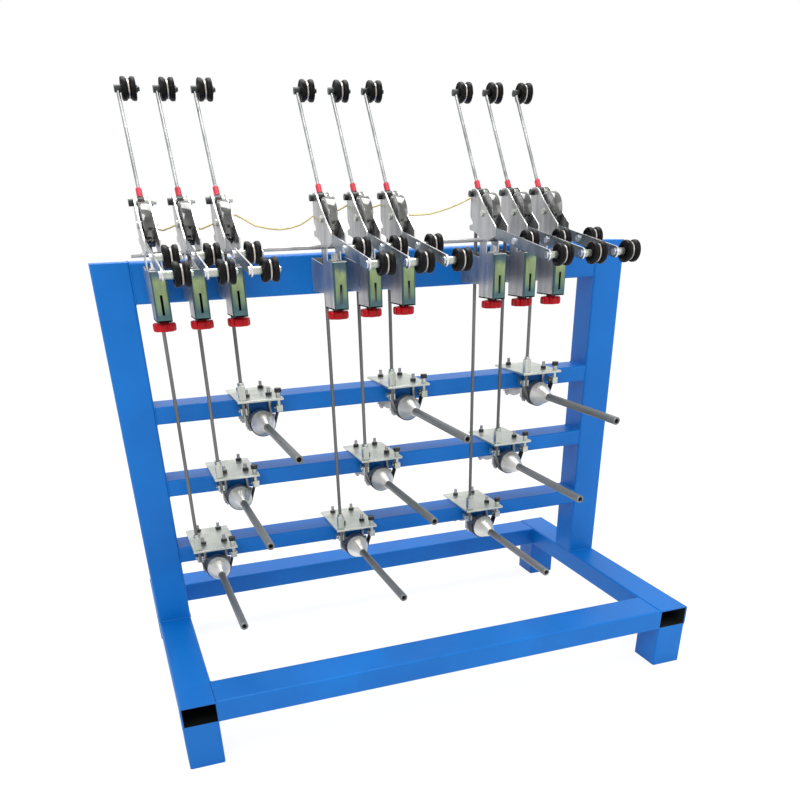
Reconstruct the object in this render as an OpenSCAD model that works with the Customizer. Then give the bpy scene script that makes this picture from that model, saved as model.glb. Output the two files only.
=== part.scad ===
// Wire pay-off frame. A blue tube stand carries nine braked bobbin spindles on
// three cross bars. The beam above them carries nine tension heads with dancer arms.
// Lengths are in millimetres. X runs to the right, Y to the back and Z up.

/* [Stand] */
// Overall width of the stand
frame_w = 1280; // [1240:1:1500]
// Overall depth of the stand
frame_d = 748; // [700:1:900]
// Height of a foot
foot_h = 106; // [60:1:160]
// Width of a foot
foot_w = 78; // [60:1:80]
// Depth of a foot
foot_d = 84; // [60:1:95]
// Width of the side rails and of the uprights
rail_w = 80; // [70:1:100]
// Height of the base tubes
base_h = 52; // [40:1:70]
// Wall of the tubes; the side rails are open at their ends
tube_wall = 4; // [3:0.5:6]
// Corner radius of all tubes
tube_r = 5; // [2:0.5:8]
// Depth of the front base beam
front_beam_d = 95; // [70:1:120]
// Depth of the rear base beam
rear_beam_d = 88; // [70:1:120]
// Front face of the uprights behind the middle of the stand
post_y = 68; // [50:1:90]
// Depth of the uprights, the top beam and the cross bars
post_d = 83; // [76:1:90]
// Height of the uprights above the base
post_h = 819; // [780:1:900]
// Height of the top beam
beam_h = 80; // [72:1:100]
// Height of a cross bar
bar_h = 39; // [34:1:50]
// Top of the lowest cross bar above the base
low_bar_h = 189; // [170:1:210]
// Step from one cross bar up to the next
bar_step = 169; // [150:1:180]

/* [Places of the units] */
// Distance from the left side of the stand to the first brake rod
first_rod = 124; // [115:1:140]
// Step between neighbouring units of a group
unit_pitch = 75; // [70:1:80]
// Step from one group of three to the next
group_pitch = 363; // [330:1:375]

/* [Head frame] */
// Thickness of the folded sheet
sheet_t = 2.5; // [2:0.1:3]
// Outside width of a head frame
head_w = 31; // [30:0.5:34]
// Distance from the brake rod to the middle of its head frame
head_shift = 5; // [4:0.5:6]
// Depth of a side plate
head_d = 136; // [125:1:150]
// Height of a side plate
head_h = 214; // [200:1:235]
// Distance from the uprights forward to the front of a head frame
head_reach = 180; // [170:1:190]
// Distance that a head frame hangs below the top of the beam
head_drop = 100; // [90:1:110]
// Width of the slot in the front wall
slot_w = 5; // [3:0.5:7]
// Thickness of the mounting bracket
bracket_t = 2.5; // [2:0.1:2.8]
// Height of the mounting bracket at the beam
bracket_h = 66; // [56:1:72]
// Radius of the long cross rod
cross_rod_r = 4; // [3:0.5:5]
// Length of cross rod that stands out beyond the end heads
cross_rod_out = 24; // [10:1:60]

/* [Pins and screws of a head] */
// Radius of the top cross pin, the wheel axle and the pulley axles
axle_r = 4; // [3:0.5:5]
// Radius of the round bolt heads and of the nuts
nut_r = 6.5; // [6:0.5:7.5]
// Thickness of a bolt head and of a thin nut
nut_t = 3.5; // [3:0.5:5]
// Length of the cap on the left end of the top pin
pin_cap = 9; // [5:0.5:12]
// Radius of the spring column round the tension screw
column_r = 8.5; // [7:0.5:9]
// Radius of the large washer on the spring column
washer_r = 11.5; // [10:0.5:12]
// Height of the large washer
washer_t = 2.5; // [2:0.5:4]
// Height of the nut over the large washer
screw_nut_t = 11; // [8:0.5:13]

/* [Tension wheel and knob] */
// Diameter of the tension wheel
wheel_d = 76; // [70:1:80]
// Width of the tension wheel
wheel_w = 19; // [16:0.5:20]
// Depth of the groove of the tension wheel
wheel_groove = 9; // [6:0.5:12]
// Diameter of the lobed knob
knob_d = 47; // [40:1:52]
// Height of the lobed knob
knob_h = 15; // [13:0.5:18]
// Gap between the lobed knob and the head frame
knob_gap = 4.5; // [3:0.5:8]

/* [Dancer arm and pulleys] */
// Length of a dancer arm from its pin to its pulley
arm_l = 240; // [200:1:260]
// Backward lean of a dancer arm at rest, in degrees
arm_lean = 35; // [25:1:45]
// Radius of the arm's rod
arm_r = 3.5; // [3:0.5:4.5]
// Radius of the sleeve at the foot of the arm
sleeve_r = 6; // [5:0.5:6.5]
// Length of the sleeve from the pin
sleeve_l = 27; // [20:1:40]
// Radius of the collar round the pin
collar_r = 9; // [8.5:0.5:9.5]
// Width of the collar
collar_w = 13; // [11:0.5:15]
// Diameter of a pulley
pulley_d = 40; // [34:1:42]
// Width of a pulley
pulley_w = 28; // [22:0.5:30]
// Gap from the brake rod's line to the left face of a pulley
pulley_shift = 2; // [1:0.5:4]

/* [Guide bar] */
// Length of the guide bar
guide_l = 263; // [255:1:300]
// Height of the guide bar
guide_h = 20; // [16:0.5:24]
// Thickness of the guide bar
guide_t = 3; // [2:0.5:4]
// Downward slope of the guide bar, in degrees
guide_slope = 9.1; // [5:0.1:12]
// Distance from the bar's end to the outer bolt
guide_end = 10; // [9:0.5:14]
// Distance between the two bolts
guide_step = 139; // [120:1:150]

/* [Brake plate] */
// Width of the plate across the unit
plate_w = 102; // [98:1:108]
// Depth of the plate
plate_d = 150; // [148:1:156]
// Thickness of the plate
plate_t = 5; // [4:0.5:8]
// Corner radius of the plate
plate_r = 12; // [6:1:14]
// Distance from the plate's left side to the brake rod
plate_side = 9; // [8:0.5:12]
// Distance from the plate's front edge to the brake rod
plate_front = 14; // [12:0.5:16]
// Distance that the plate stands out in front of the uprights
plate_reach = 55; // [50:0.5:60]
// Radius of the brake rod, the studs and the adjusting bolt
rod_r = 4; // [3:0.5:4.5]
// Radius of the sleeve on the brake rod
rod_sleeve_r = 7.5; // [6:0.5:8]
// Height of the sleeve on the brake rod
rod_sleeve_h = 40; // [30:1:50]
// Height of the nuts of the studs
stud_nut_t = 6.5; // [5:0.5:8]
// Height of the studs above the plate
stud_out = 17; // [12:0.5:22]
// Radius of the black knob on the adjusting bolt
small_knob_r = 8; // [7:0.5:9]
// Height of the black knob
small_knob_h = 9; // [7:0.5:12]
// Height of the sleeve under the black knob
small_sleeve_h = 10; // [8:0.5:14]

/* [Spindle and bearings] */
// Distance from the brake rod to the spindle's axis
spindle_shift = 42; // [40:0.5:44]
// Depth of the spindle's axis below the top of the cross bar
spindle_drop = 51; // [51:0.5:60]
// Radius of the spindle
spindle_r = 8.5; // [7.5:0.5:9]
// Distance that the spindle reaches in front of the uprights
spindle_reach = 388; // [350:1:420]
// Radius of the bore in the spindle's tip
tip_bore_r = 5; // [3:0.5:6]
// Depth of the bore in the spindle's tip
tip_bore_l = 24; // [10:1:40]
// Radius of the brake drum
drum_r = 28.5; // [26:0.5:30]
// Width of the brake drum
drum_w = 26; // [24:0.5:28]
// Height of the drum's flange above the drum
flange_out = 3; // [2:0.5:4]
// Thickness of the drum's flange
flange_t = 2.5; // [2:0.5:4]
// Radius of the wide end of the cone
cone_r = 24; // [20:0.5:26]
// Length of the cone
cone_l = 46; // [36:1:60]
// Width of a bearing block
block_w = 72; // [68:1:76]
// Height of a bearing block
block_h = 23; // [22:0.5:28]
// Thickness of a bearing block
block_t = 10; // [8:0.5:11]
// Radius of the cap behind the rear block
cap_r = 26; // [22:0.5:28]
// Length of the cap behind the rear block
cap_l = 20; // [14:1:26]

/* [Brake strap] */
// Width of the strap
strap_w = 20; // [16:0.5:21]
// Thickness of the strap
strap_t = 2; // [1.5:0.5:3]
// Depth of the clamps below the plate's seat
clamp_drop = 21; // [18:0.5:24]
// Width of a clamp
clamp_w = 14; // [12:0.5:16]
// Height of a clamp
clamp_h = 14; // [12:0.5:16]
// Radius of the pin through a clamp
clamp_pin_r = 3; // [2:0.5:4]

/* [Signal wire] */
// Radius of the yellow wire
wire_r = 1.5; // [1:0.25:2]

/* [Hidden] */
$fn = 48;

// Number of units, in groups that climb from the lowest bar to the highest
units = 9;
per_group = 3;
// Number of lobes of the tension knob
lobes = 7;
// Sides of a hexagon nut
hex = 6;
// Sides of the wire
wire_sides = 8;
// Flat steps of half the strap's bend
strap_steps = 12;
// Running fit of turning pieces, loose fit of fixed pieces, and side play
fit = rod_r / 80;
loose = rod_r / 20;
play = rod_r / 13;
// Overrun of every cut
over = sheet_t / 2;

// Heights of the stand
base_top = foot_h + base_h;
beam_top = base_top + post_h;
inner_x = frame_w / 2 - rail_w;
post_mid = post_y + post_d / 2;
post_back = post_y + post_d;

// Places in a head, as shares of the side plate's depth and height
plate_outline_shares = [[0, 0], [0.538, 0], [0.538, 0.505], [0.732, 0.598], [0.99, 0.631],
    [1, 0.678], [0.951, 0.752], [0.958, 0.907], [0.93, 0.968], [0.88, 1], [0.75, 1],
    [0.68, 0.972], [0.623, 0.935], [0, 0.659]];
pin_shares = [0.839, 0.958];
wheel_shares = [0.46, 0.78];
cross_rod_shares = [0.456, 0.542];
guide_root_shares = [0.2, 0.622];
screw_share = 0.257;
wall_share = 0.423;
housing_share = 0.538;
slot_shares = [0.056, 0.224];
rod_top_share = 0.71;
bracket_front_share = 0.42;
bracket_slope_share = 0.2;

head_front = post_y - head_reach;
head_z = beam_top - head_drop;
pin_y = head_front + head_d * pin_shares[0];
pin_z = head_z + head_h * pin_shares[1];
wheel_y = head_front + head_d * wheel_shares[0];
wheel_z = head_z + head_h * wheel_shares[1];
cross_rod_y = head_front + head_d * cross_rod_shares[0];
cross_rod_z = head_z + head_h * cross_rod_shares[1];
guide_y = head_front + head_d * guide_root_shares[0];
guide_z = head_z + head_h * guide_root_shares[1];
screw_y = head_front + head_d * screw_share;
wall_h = head_h * wall_share;
housing_d = head_d * housing_share;
head_back = head_front + head_d;
pulley_x = pulley_shift + pulley_w / 2;
pulley_end = pulley_shift + pulley_w;
axle_end = pulley_end + play + nut_t;
head_left = -head_shift - head_w / 2;
head_right = head_left + head_w;
guide_left = head_left + sheet_t;
guide_right = guide_left + guide_t;

// Places in a spindle unit, from the brake rod and the top of its cross bar
plate_y = post_y - plate_reach;
rod_y = plate_y + plate_front;
adjust_y = rod_y + rod_r;
adjust_x = plate_w - plate_side * 2;
stud_gap = rod_r / 4;
front_stud_y = post_y - stud_gap - block_t / 2;
rear_stud_y = post_back + stud_gap + block_t / 2;
stud_x = block_w / 2 - block_t;
stud_places = [[spindle_shift - stud_x, front_stud_y], [spindle_shift + stud_x, front_stud_y],
    [spindle_shift - stud_x, rear_stud_y], [spindle_shift + stud_x, rear_stud_y]];
block_top = -bar_h;
block_bottom = block_top - block_h;
drum_back = front_stud_y - block_t / 2 - play * 10;
drum_front = drum_back - drum_w;
cone_front = drum_front - flange_t - cone_l;
spindle_tip = post_y - spindle_reach;
spindle_back = rear_stud_y + block_t / 2 + cap_l * 0.8;
strap_in = drum_r + fit * 8;
strap_mid = strap_in + strap_t / 2;
clamp_y = drum_back - drum_w / 2;

clamp_d = strap_w + rod_sleeve_r * 1.5;
guide_bolts = [guide_l - guide_end - guide_step, guide_l - guide_end];
wire_y = head_front + head_d * plate_outline_shares[7][0] + wire_r + loose * 2;

// Route of the signal wire: unit, share of the unit pitch across, share of the side plate's height
wire_route_shares = [[1, -0.07, 0.76], [1, 0.14, 0.75], [1, 0.27, 0.74], [1, 0.4, 0.73], [1, 0.6, 0.75],
    [1, 0.79, 0.775], [2, 0, 0.775], [2, 0.14, 0.755], [2, 0.25, 0.74], [2, 0.42, 0.73], [2, 0.6, 0.75],
    [2, 0.79, 0.775], [3, 0, 0.8], [3, 0.2, 0.83], [3, 0.4, 0.835], [3, 0.6, 0.8], [3, 0.9, 0.74],
    [3, 1.3, 0.71], [3, 1.6, 0.7], [3, 1.9, 0.71], [3, 2.2, 0.735], [3, 2.4, 0.77], [4, -0.27, 0.805],
    [4, 0.1, 0.835], [4, 0.5, 0.85], [4, 0.7, 0.88], [4, 0.82, 0.9], [5, 0, 0.895], [5, 0.3, 0.87],
    [5, 0.53, 0.865], [5, 0.75, 0.885], [6, 0, 0.87], [6, 0.2, 0.84], [6, 0.45, 0.8], [6, 0.7, 0.785],
    [6, 1, 0.785], [6, 1.3, 0.79], [6, 1.6, 0.81], [6, 1.95, 0.84], [6, 2.3, 0.88], [6, 2.6, 0.92],
    [7, -0.07, 0.93]];

// Position of unit i on the stand, counted from one
function unit_x(i) = first_rod - frame_w / 2 + floor((i - 1) / per_group) * group_pitch
    + ((i - 1) % per_group) * unit_pitch;
function bar_top(i) = base_top + low_bar_h + ((i - 1) % per_group) * bar_step;

// Extrusions along X and Y, and a round bar along X
module along_x(x0, x1) {
    translate([x0, 0, 0])
        rotate([90, 0, 90])
            linear_extrude(x1 - x0)
                children();
}

module along_y(y0, y1) {
    translate([0, y1, 0])
        rotate([90, 0, 0])
            linear_extrude(y1 - y0)
                children();
}

module bar_x(x0, x1, y, z, r) {
    translate([x0, y, z])
        rotate([0, 90, 0])
            cylinder(r = r, h = x1 - x0);
}

module nut_x(x0, x1, y, z, r) {
    translate([x0, y, z])
        rotate([0, 90, 0])
            cylinder(r = r, h = x1 - x0, $fn = hex);
}

module bar_z(z0, z1, r) {
    translate([0, 0, z0])
        cylinder(r = r, h = z1 - z0);
}

module nut_z(z0, z1, r) {
    translate([0, 0, z0])
        cylinder(r = r, h = z1 - z0, $fn = hex);
}

// Section of a rectangular tube with round corners
module tube_section(w, h, r) {
    square([w - r * 2, h], center = true);
    square([w, h - r * 2], center = true);
    for (sx = [-1, 1], sy = [-1, 1])
        translate([sx * (w / 2 - r), sy * (h / 2 - r)])
            circle(r = r);
}

module tube_ring(w, h) {
    difference() {
        tube_section(w, h, tube_r);
        tube_section(w - tube_wall * 2, h - tube_wall * 2, tube_r / 2);
    }
}

// Upright tube, open below and closed by a welded cap on top
module capped_tube(w, d, h) {
    linear_extrude(h - tube_wall)
        tube_ring(w, d);
    translate([0, 0, h - tube_wall])
        linear_extrude(tube_wall)
            tube_section(w, d, tube_r);
}

// Stand
module side_rails() {
    color("royalblue")
        for (side = [-1, 1])
            translate([side * (frame_w - rail_w) / 2, 0, foot_h + base_h / 2])
                along_y(-frame_d / 2, frame_d / 2)
                    tube_ring(rail_w, base_h);
}

module cross_members() {
    color("royalblue") {
        for (row = [[front_beam_d / 2 - frame_d / 2, front_beam_d], [frame_d / 2 - rear_beam_d / 2, rear_beam_d]])
            translate([0, row[0], foot_h + base_h / 2])
                along_x(-inner_x, inner_x)
                    tube_ring(row[1], base_h);
        translate([0, post_mid, beam_top - beam_h / 2])
            along_x(-inner_x, inner_x)
                tube_ring(post_d, beam_h);
        for (i = [1:per_group])
            translate([0, post_mid, bar_top(i) - bar_h / 2])
                along_x(-inner_x, inner_x)
                    tube_ring(post_d, bar_h);
    }
}

module posts() {
    color("royalblue")
        for (side = [-1, 1]) {
            translate([side * (frame_w - rail_w) / 2, post_mid, base_top])
                capped_tube(rail_w, post_d, post_h);
            for (end = [-1, 1])
                translate([side * (frame_w - foot_w) / 2, end * (frame_d - foot_d) / 2, foot_h])
                    mirror([0, 0, 1])
                        capped_tube(foot_w, foot_d, foot_h);
        }
}

// Side plate seen from the side, with Y across and Z up
module side_plate() {
    difference() {
        polygon([for (p = plate_outline_shares) [head_front + p[0] * head_d, head_z + p[1] * head_h]]);
        translate([pin_y, pin_z])
            circle(r = axle_r + loose);
        translate([wheel_y, wheel_z])
            circle(r = axle_r + loose);
        translate([cross_rod_y, cross_rod_z])
            circle(r = cross_rod_r + loose);
    }
}

// Head frame: two side plates, the slotted front wall and the floor
module head_frames() {
    color("lightsteelblue")
        for (i = [1:units])
            translate([unit_x(i), 0, 0]) {
                difference() {
                    union() {
                        along_x(head_left, head_left + sheet_t)
                            side_plate();
                        along_x(head_right - sheet_t, head_right)
                            side_plate();
                        translate([head_left + sheet_t / 2, head_front, head_z])
                            cube([head_w - sheet_t, sheet_t, wall_h]);
                        translate([head_left + sheet_t / 2, head_front, head_z])
                            cube([head_w - sheet_t, housing_d, sheet_t]);
                    }
                    translate([-head_shift - slot_w / 2, head_front - over, head_z + slot_shares[0] * head_h])
                        cube([slot_w, sheet_t + over * 2, (slot_shares[1] - slot_shares[0]) * head_h]);
                    translate([-head_shift, screw_y, head_z - over])
                        cylinder(r = rod_r + loose, h = sheet_t + over * 2);
                }
            }
}

// Bracket between a head frame and the beam: a web and two side flanges
module bracket_flange() {
    bracket_front = head_front + head_d * bracket_front_share;
    slope = bracket_h * bracket_slope_share;
    web_top = beam_top - bracket_t * 3;
    polygon([[bracket_front, web_top - bracket_h], [post_y, web_top - bracket_h],
        [post_y, web_top], [bracket_front, web_top - slope]]);
}

module mounting_brackets() {
    color("silver")
        for (i = [1:units])
            translate([unit_x(i), 0, 0]) {
                along_x(head_left + sheet_t, head_left + sheet_t + bracket_t)
                    bracket_flange();
                along_x(head_right - sheet_t - bracket_t, head_right - sheet_t)
                    bracket_flange();
                translate([head_left + sheet_t + bracket_t / 2, post_y - bracket_t,
                        beam_top - bracket_t * 3 - bracket_h])
                    cube([head_w - sheet_t * 2 - bracket_t, bracket_t, bracket_h]);
            }
}

// Top pin, wheel axle and tension screw of every head, and the bolts of its guide bar
module head_pins() {
    color("dimgray")
        for (i = [1:units])
            translate([unit_x(i), 0, 0]) {
                bar_x(head_left - pin_cap, head_left, pin_y, pin_z, nut_r - play);
                bar_x(head_left - over, head_right + nut_r * 2, pin_y, pin_z, axle_r);
                nut_x(head_right, head_right + nut_r, pin_y, pin_z, nut_r);
                bar_x(head_left - nut_t, head_left, wheel_y, wheel_z, nut_r);
                bar_x(head_left - over, head_right + over, wheel_y, wheel_z, axle_r);
                spacers(wheel_w, wheel_y, wheel_z);
                spacers(collar_w, pin_y, pin_z);
                bar_x(head_right, head_right + nut_t, wheel_y, wheel_z, nut_r);
                translate([-head_shift, screw_y, head_z]) {
                    bar_z(-knob_gap - knob_h / 2, wall_h + washer_t + screw_nut_t + over, rod_r);
                    bar_z(sheet_t, wall_h, column_r);
                    bar_z(wall_h, wall_h + washer_t, washer_r);
                    nut_z(wall_h + washer_t, wall_h + washer_t + screw_nut_t, nut_r * 1.2);
                }
                for (d = guide_bolts)
                    guide_bolt(guide_y - d * cos(guide_slope), guide_z - d * sin(guide_slope));
            }
}

// Spacer rings that keep a piece of width w in the middle of a head frame
module spacers(w, y, z) {
    bar_x(head_left + sheet_t, -head_shift - w / 2 - play, y, z, nut_r);
    bar_x(play + w / 2 - head_shift, head_right - sheet_t, y, z, nut_r);
}

module guide_bolt(y, z) {
    bar_x(guide_left - nut_t, guide_left, y, z, nut_r);
    bar_x(guide_left - over, axle_end + nut_t / 2, y, z, axle_r);
    bar_x(guide_right, pulley_shift - play, y, z, nut_r);
    nut_x(pulley_end + play, axle_end, y, z, nut_r);
}

// Guide bar with a round front end, held against the left side plate
module guide_bars() {
    color("silver")
        for (i = [1:units])
            translate([unit_x(i), guide_y, guide_z])
                rotate([guide_slope, 0, 0])
                    difference() {
                        along_x(guide_left, guide_right) {
                            translate([guide_h / 2 - guide_l, -guide_h / 2])
                                square([guide_l - guide_h / 2, guide_h]);
                            translate([guide_h / 2 - guide_l, 0])
                                circle(r = guide_h / 2);
                        }
                        for (d = guide_bolts)
                            bar_x(guide_left - over, guide_right + over, -d, 0, axle_r + loose);
                    }
}

module cross_rod() {
    color("gray")
        bar_x(unit_x(1) + head_left - cross_rod_out, unit_x(units) + head_right + cross_rod_out,
            cross_rod_y, cross_rod_z, cross_rod_r);
}

// Grooved wheel on the X axis, from its bore, radius, width and groove
module grooved_wheel(bore, r, w, groove, rim) {
    rotate([0, 90, 0])
        rotate_extrude()
            polygon([[bore, -w / 2], [r * 0.4, -w / 2], [r * 0.46, rim - w / 2], [r - groove, rim - w / 2],
                [r - groove * 0.5, -w / 2], [r, -w / 2], [r, rim - w / 2], [r - groove, -rim / 2],
                [r - groove, rim / 2], [r, w / 2 - rim], [r, w / 2], [r - groove * 0.5, w / 2],
                [r - groove, w / 2 - rim], [r * 0.46, w / 2 - rim], [r * 0.4, w / 2], [bore, w / 2]]);
}

// Pulley with two flanges and a round-bottomed groove
module pulley() {
    r = pulley_d / 2;
    w = pulley_w;
    rotate([0, 90, 0])
        rotate_extrude()
            difference() {
                translate([axle_r + fit, -w / 2])
                    square([r - axle_r - fit, w]);
                translate([r * 1.06, 0])
                    circle(r = r * 0.36);
                for (end = [-1, 1])
                    translate([r * 0.62, end * w / 2])
                        circle(r = r * 0.14);
            }
}

module guide_pulleys(d) {
    color("black")
        for (i = [1:units])
            translate([unit_x(i) + pulley_x, guide_y - d * cos(guide_slope), guide_z - d * sin(guide_slope)])
                pulley();
}

module guide_pulleys_inner() {
    guide_pulleys(guide_bolts[0]);
}

module guide_pulleys_outer() {
    guide_pulleys(guide_bolts[1]);
}

// Dancer arm: collar and sleeve at the pin, thin rod, eye and pulley axle at the top
module dancer_arm(i) {
    color("gainsboro")
        translate([unit_x(i) - head_shift, pin_y, pin_z])
            rotate([-arm_lean, 0, 0])
                difference() {
                    union() {
                        bar_x(-collar_w / 2, collar_w / 2, 0, 0, collar_r);
                        bar_z(0, sleeve_l, sleeve_r);
                        bar_z(0, arm_l, arm_r);
                        translate([head_shift, 0, 0]) {
                            bar_x(-head_shift - nut_r, pulley_shift - play, 0, arm_l, nut_r);
                            bar_x(-head_shift, axle_end + nut_t, 0, arm_l, axle_r);
                            nut_x(pulley_end + play, axle_end, 0, arm_l, nut_r);
                        }
                    }
                    bar_x(-collar_w, collar_w, 0, 0, axle_r + fit);
                }
}

module dancer_pulley(i) {
    color("black")
        translate([unit_x(i) + pulley_x, pin_y + arm_l * sin(arm_lean), pin_z + arm_l * cos(arm_lean)])
            pulley();
}

module tension_wheel(i) {
    color("darkgray")
        translate([unit_x(i) - head_shift, wheel_y, wheel_z])
            grooved_wheel(axle_r + fit, wheel_d / 2, wheel_w, wheel_groove, sheet_t);
}

// Lobed knob on the lower end of the tension screw
module tension_knob(i) {
    lobe_r = knob_d * 0.14;
    color("red")
        translate([unit_x(i) - head_shift, screw_y, head_z - knob_gap - knob_h])
            difference() {
                union() {
                    cylinder(r = knob_d * 0.42, h = knob_h);
                    for (k = [1:lobes])
                        rotate([0, 0, k * 360 / lobes])
                            translate([knob_d / 2 - lobe_r, 0, 0])
                                cylinder(r = lobe_r, h = knob_h);
                    cylinder(r = knob_d * 0.22, h = knob_h + knob_gap - play);
                }
                translate([0, 0, knob_h / 2 - play])
                    cylinder(r = rod_r + fit, h = knob_h);
            }
}

// Plate across the cross bar, drilled for the studs, the rod and the adjusting bolt
module brake_plates() {
    color("lightgray")
        for (i = [1:units])
            translate([unit_x(i), 0, bar_top(i)])
                difference() {
                    translate([plate_w / 2 - plate_side, plate_y + plate_d / 2, 0])
                        linear_extrude(plate_t)
                            tube_section(plate_w, plate_d, plate_r);
                    for (p = stud_places)
                        translate([p[0], p[1], -over])
                            cylinder(r = rod_r + loose, h = plate_t + over * 2);
                    translate([0, rod_y, -over])
                        cylinder(r = rod_r + loose, h = plate_t + over * 2);
                    translate([adjust_x, adjust_y, -over])
                        cylinder(r = rod_r + loose, h = plate_t + over * 2);
                }
}

// Brake rod with its sleeve and nuts, from the strap's clamp up into the head
module brake_rods() {
    rod_top = head_z + head_h * rod_top_share;
    color("gray")
        for (i = [1:units])
            translate([unit_x(i), rod_y, bar_top(i)]) {
                bar_z(clamp_h / 2 - clamp_drop, rod_top - bar_top(i), rod_r);
                bar_z(plate_t, plate_t + rod_sleeve_h, rod_sleeve_r);
                nut_z(plate_t + rod_sleeve_h, plate_t + rod_sleeve_h + stud_nut_t, rod_sleeve_r);
            }
}

// Bearing blocks under the studs, with the rear cap, and the studs with their nuts
module bearing_block(y) {
    translate([spindle_shift - block_w / 2, y - block_t / 2, block_bottom])
        cube([block_w, block_t, block_h]);
}

module bearing_housings() {
    cap_y = rear_stud_y + block_t / 2;
    color("silver")
        for (i = [1:units])
            translate([unit_x(i), 0, bar_top(i)]) {
                difference() {
                    union() {
                        bearing_block(front_stud_y);
                        bearing_block(rear_stud_y);
                        translate([spindle_shift, cap_y - over, -spindle_drop])
                            rotate([-90, 0, 0])
                                cylinder(r = cap_r, h = cap_l + over);
                    }
                    translate([spindle_shift, plate_y, -spindle_drop])
                        rotate([-90, 0, 0])
                            cylinder(r = spindle_r + fit, h = spindle_back + play - plate_y);
                    for (p = stud_places)
                        translate([p[0], p[1], block_bottom - over])
                            cylinder(r = rod_r, h = block_h + over * 2);
                }
                for (p = stud_places)
                    translate([p[0], p[1], 0]) {
                        bar_z(block_bottom - stud_nut_t - rod_r, plate_t + stud_out, rod_r);
                        nut_z(plate_t, plate_t + stud_nut_t, rod_sleeve_r);
                        nut_z(block_bottom - stud_nut_t, block_bottom, rod_sleeve_r);
                    }
            }
}

// One face of the strap: straight from a clamp, round under the drum and straight to the other clamp
function strap_line(r, lean, run, way) =
    let (span = 90 - lean)
        [for (k = [-strap_steps - 1:strap_steps + 1])
            let (step = way * min(max(k, -strap_steps), strap_steps), a = 270 + step * span / strap_steps,
                tail = abs(k) > strap_steps ? sign(k) * way * run : 0)
                [r * cos(a) - tail * sin(a), r * sin(a) + tail * cos(a)]];

// Strap under the drum with its two clamps, and the adjusting bolt with the black knob
module brake_bands() {
    run_x = spindle_shift;
    run_z = spindle_drop - clamp_drop;
    reach = sqrt(run_x * run_x + run_z * run_z);
    lean = acos(strap_mid / reach) - atan2(run_z, run_x);
    run = sqrt(reach * reach - strap_mid * strap_mid);
    color("dimgray")
        for (i = [1:units])
            translate([unit_x(i), 0, bar_top(i)]) {
                translate([spindle_shift, 0, -spindle_drop])
                    along_y(clamp_y - strap_w / 2, clamp_y + strap_w / 2)
                        polygon(concat(strap_line(strap_in + strap_t, lean, run, 1),
                            strap_line(strap_in, lean, run, -1)));
                for (x = [0, adjust_x]) {
                    translate([x - clamp_w / 2, clamp_y - clamp_d / 2, -clamp_drop - clamp_h / 2])
                        cube([clamp_w, clamp_d, clamp_h]);
                    bar_x(x - clamp_w / 2 - clamp_pin_r, x + clamp_w / 2 + clamp_pin_r, clamp_y, -clamp_drop,
                        clamp_pin_r);
                }
                translate([adjust_x, adjust_y, 0]) {
                    bar_z(clamp_h / 2 - clamp_drop, plate_t + small_sleeve_h, rod_r);
                    bar_z(plate_t, plate_t + small_sleeve_h, small_knob_r * 0.7);
                    bar_z(plate_t + small_sleeve_h, plate_t + small_sleeve_h + small_knob_h, small_knob_r);
                }
            }
}

// Spindle with its drum, flange and cone, turned from one bar, bored at the tip
module spindle(i) {
    cone_back = drum_front - flange_t;
    block_face = front_stud_y - block_t / 2 - play;
    color("gray")
        translate([unit_x(i) + spindle_shift, 0, bar_top(i) - spindle_drop])
            rotate([-90, 0, 0])
                rotate_extrude()
                    polygon([[tip_bore_r, spindle_tip], [spindle_r - loose * 4, spindle_tip],
                        [spindle_r, spindle_tip + loose * 4], [spindle_r, cone_front],
                        [spindle_r + loose * 4, cone_front], [cone_r, cone_back],
                        [drum_r + flange_out, cone_back], [drum_r + flange_out, drum_front],
                        [drum_r, drum_front], [drum_r, drum_back], [spindle_r * 1.4, drum_back],
                        [spindle_r * 1.4, block_face], [spindle_r, block_face], [spindle_r, spindle_back],
                        [0, spindle_back], [0, spindle_tip + tip_bore_l], [tip_bore_r, spindle_tip + tip_bore_l]]);
}

// Signal wire behind the heads, swept along its route
function wire_point(p) = [unit_x(p[0]) + p[1] * unit_pitch, wire_y, head_z + p[2] * head_h];
function unit_vector(v) = v / norm(v);

module signal_wire() {
    path = [for (p = wire_route_shares) wire_point(p)];
    last = len(path) - 1;
    rings = [for (k = [0:last])
        let (t = unit_vector(path[min(k + 1, last)] - path[max(k - 1, 0)]), n = cross(t, [0, 1, 0]))
            for (j = [0:wire_sides - 1])
                let (a = j * 360 / wire_sides)
                    path[k] + wire_r * (cos(a) * [0, 1, 0] + sin(a) * n)];
    sides = [for (k = [0:last - 1], j = [0:wire_sides - 1])
        let (m = (j + 1) % wire_sides)
            [k * wire_sides + j, k * wire_sides + m, (k + 1) * wire_sides + m, (k + 1) * wire_sides + j]];
    first_end = [for (j = [wire_sides - 1:-1:0]) j];
    last_end = [for (j = [0:wire_sides - 1]) last * wire_sides + j];
    color("gold")
        polyhedron(points = rings, faces = concat([first_end, last_end], sides));
}

side_rails();
cross_members();
posts();
head_frames();
head_pins();
mounting_brackets();
guide_bars();
cross_rod();
brake_plates();
brake_rods();
bearing_housings();
brake_bands();
signal_wire();
guide_pulleys_inner();
guide_pulleys_outer();
dancer_arm(1);  // dancer_arm_1
dancer_arm(2);  // dancer_arm_2
dancer_arm(3);  // dancer_arm_3
dancer_arm(4);  // dancer_arm_4
dancer_arm(5);  // dancer_arm_5
dancer_arm(6);  // dancer_arm_6
dancer_arm(7);  // dancer_arm_7
dancer_arm(8);  // dancer_arm_8
dancer_arm(9);  // dancer_arm_9
dancer_pulley(1);  // dancer_pulley_1
dancer_pulley(2);  // dancer_pulley_2
dancer_pulley(3);  // dancer_pulley_3
dancer_pulley(4);  // dancer_pulley_4
dancer_pulley(5);  // dancer_pulley_5
dancer_pulley(6);  // dancer_pulley_6
dancer_pulley(7);  // dancer_pulley_7
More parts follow.
